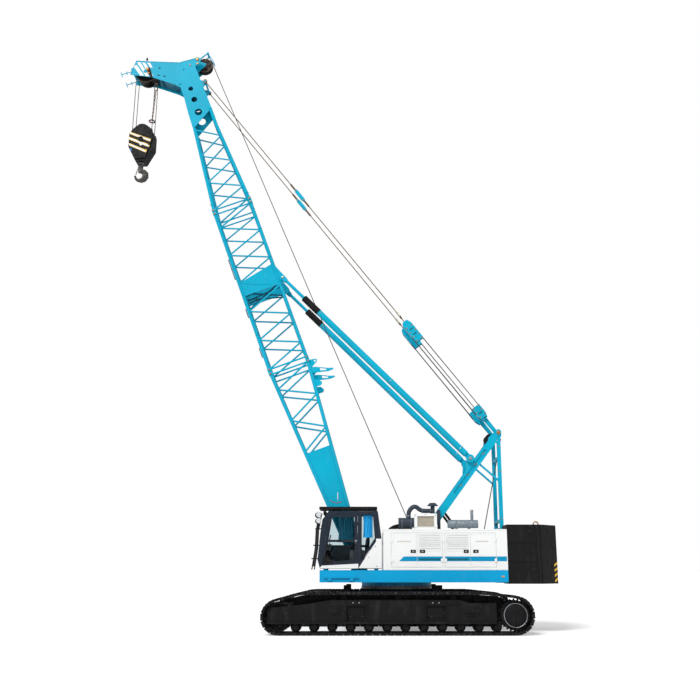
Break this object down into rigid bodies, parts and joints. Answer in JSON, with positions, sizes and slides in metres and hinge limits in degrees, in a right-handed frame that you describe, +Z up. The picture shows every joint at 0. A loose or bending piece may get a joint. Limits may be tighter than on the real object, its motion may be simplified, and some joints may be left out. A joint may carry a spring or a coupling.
{
  "type": "dynamic compaction machine",
  "caption": "Crawler machine for dynamic compaction: tracks, slewing body with cab and counterweight, A-frame gantry, lattice boom with backstops, hook block.",
  "frame": {"origin": "on the ground under the middle of the whole machine's length and width", "axes": "+Z up, +X to the machine's rear, so the boom leans toward -X and the cab is on the -Y side"},
  "size_m": [14.9916, 5, 20.578],
  "materials": {
    "bare_steel": "brushed",
    "black_paint": "satin black paint",
    "boom_blue": "gloss cyan-blue paint",
    "cab_charcoal": "satin charcoal paint",
    "engine_grey": "painted casting",
    "frame_blue": "gloss blue paint",
    "glass": "clear",
    "hook_steel": "rough forged",
    "house_white": "satin white paint",
    "rope_steel": "greased wire rope",
    "seat_fabric": "woven",
    "track_dark": "worn dark steel"
  },
  "bodies": {
    "undercarriage": {"carbody": "track_dark", "slew_ring": "track_dark", "idler_left": "track_dark", "idler_right": "track_dark", "sprocket_left": "track_dark", "sprocket_right": "track_dark", "track_frame_left": "track_dark", "track_frame_right": "track_dark", "track_left": "track_dark", "track_right": "track_dark"},
    "superstructure": {"air_cleaner": "black_paint", "boom_foot_brackets": "boom_blue", "cab_glass": "glass", "cab_rails": "black_paint", "cab_roof_guard": "black_paint", "cab_seat": "seat_fabric", "cab_shell": "cab_charcoal", "counterweight_lower": "black_paint", "counterweight_middle": "black_paint", "counterweight_upper": "black_paint", "engine_block": "engine_grey", "gantry_cylinders": "black_paint", "gantry_front_legs": "boom_blue", "gantry_masts": "boom_blue", "gantry_sheaves": "black_paint", "hoist_drum": "black_paint", "house_left": "house_white", "house_right": "house_white", "intake_box": "house_white", "muffler": "black_paint", "revolving_frame": "frame_blue"},
    "boom": {"boom_base": "boom_blue", "boom_middle": "boom_blue", "boom_top": "boom_blue", "head_sheaves": "black_paint", "rear_sheaves": "black_paint"},
    "backstop_tubes": {"backstop_tubes": "boom_blue"},
    "backstop_rods": {"backstop_rods": "bare_steel"},
    "pendants": {"pendants": "rope_steel", "upper_spreader": "boom_blue"},
    "lower_bridle": {"lower_bridle": "boom_blue"},
    "hook_block": {"hook_block": "black_paint", "hoist_falls": "rope_steel"},
    "hook": {"hook": "hook_steel"},
    "cab_door": {"cab_door": "cab_charcoal", "cab_door_glass": "glass"},
    "house_door_left_1": {"house_door_left_1": "house_white"},
    "house_door_left_2": {"house_door_left_2": "house_white"},
    "house_door_left_3": {"house_door_left_3": "house_white"},
    "house_door_left_4": {"house_door_left_4": "house_white"},
    "house_door_right_1": {"house_door_right_1": "house_white"},
    "house_door_right_2": {"house_door_right_2": "house_white"},
    "house_door_right_3": {"house_door_right_3": "house_white"},
    "house_door_right_4": {"house_door_right_4": "house_white"}
  },
  "joints": [
    {"name": "slew", "type": "hinge", "parent": "undercarriage", "child": "superstructure", "pos_m": [2.556, 0, 1.3], "axis": [0, 0, 1], "continuous": true},
    {"name": "boom_luff", "type": "hinge", "parent": "superstructure", "child": "boom", "pos_m": [1.376, 0, 2], "axis": [0, 1, 0], "range_deg": [-39.7, 8.3]},
    {"name": "backstop_swing", "type": "hinge", "parent": "superstructure", "child": "backstop_tubes", "pos_m": [4.936, 0, 5.3], "axis": [0, 1, 0], "range_deg": [-40, 12]},
    {"name": "backstop_slide", "type": "slide", "parent": "backstop_tubes", "child": "backstop_rods", "axis": [-0.7097, 0, 0.7045], "range_m": [-0.75, 3.3]},
    {"name": "pendant_pivot", "type": "hinge", "parent": "boom", "child": "pendants", "pos_m": [-4.3408, 0, 19.18395], "axis": [0, 1, 0], "range_deg": [-4, 5]},
    {"name": "bridle_pivot", "type": "hinge", "parent": "superstructure", "child": "lower_bridle", "pos_m": [5.886, 0, 6.15], "axis": [0, 1, 0], "range_deg": [-42, 12]},
    {"name": "block_swing", "type": "hinge", "parent": "boom", "child": "hook_block", "pos_m": [-6.58601, 0, 19.63289], "axis": [0, 1, 0], "range_deg": [-15, 42]},
    {"name": "hook_swivel", "type": "hinge", "parent": "hook_block", "child": "hook", "pos_m": [-6.58601, 0, 16], "axis": [0, 0, 1], "continuous": true},
    {"name": "cab_door_hinge", "type": "hinge", "parent": "superstructure", "child": "cab_door", "pos_m": [1.341, -1.664, 2.7], "axis": [0, 0, 1], "range_deg": [0, 100]},
    {"name": "house_door_left_1_hinge", "type": "hinge", "parent": "superstructure", "child": "house_door_left_1", "pos_m": [2.356, -1.664, 2.4], "axis": [0, 0, -1], "range_deg": [0, 90]},
    {"name": "house_door_left_2_hinge", "type": "hinge", "parent": "superstructure", "child": "house_door_left_2", "pos_m": [3.92, -1.664, 2.4], "axis": [0, 0, 1], "range_deg": [0, 90]},
    {"name": "house_door_left_3_hinge", "type": "hinge", "parent": "superstructure", "child": "house_door_left_3", "pos_m": [3.98, -1.664, 2.4], "axis": [0, 0, -1], "range_deg": [0, 90]},
    {"name": "house_door_left_4_hinge", "type": "hinge", "parent": "superstructure", "child": "house_door_left_4", "pos_m": [5.544, -1.664, 2.4], "axis": [0, 0, 1], "range_deg": [0, 90]},
    {"name": "house_door_right_1_hinge", "type": "hinge", "parent": "superstructure", "child": "house_door_right_1", "pos_m": [2.356, 1.664, 2.4], "axis": [0, 0, 1], "range_deg": [0, 90]},
    {"name": "house_door_right_2_hinge", "type": "hinge", "parent": "superstructure", "child": "house_door_right_2", "pos_m": [3.92, 1.664, 2.4], "axis": [0, 0, -1], "range_deg": [0, 90]},
    {"name": "house_door_right_3_hinge", "type": "hinge", "parent": "superstructure", "child": "house_door_right_3", "pos_m": [3.98, 1.664, 2.4], "axis": [0, 0, 1], "range_deg": [0, 90]},
    {"name": "house_door_right_4_hinge", "type": "hinge", "parent": "superstructure", "child": "house_door_right_4", "pos_m": [5.544, 1.664, 2.4], "axis": [0, 0, -1], "range_deg": [0, 90]}
  ],
  "couplings": [
    {"joint": "backstop_swing", "follows": "boom_luff", "ratio": 0.8738},
    {"joint": "backstop_slide", "follows": "boom_luff", "m_per_rad": -4.6215},
    {"joint": "pendant_pivot", "follows": "boom_luff", "ratio": -0.0542},
    {"joint": "bridle_pivot", "follows": "boom_luff", "ratio": 0.9458}
  ]
}
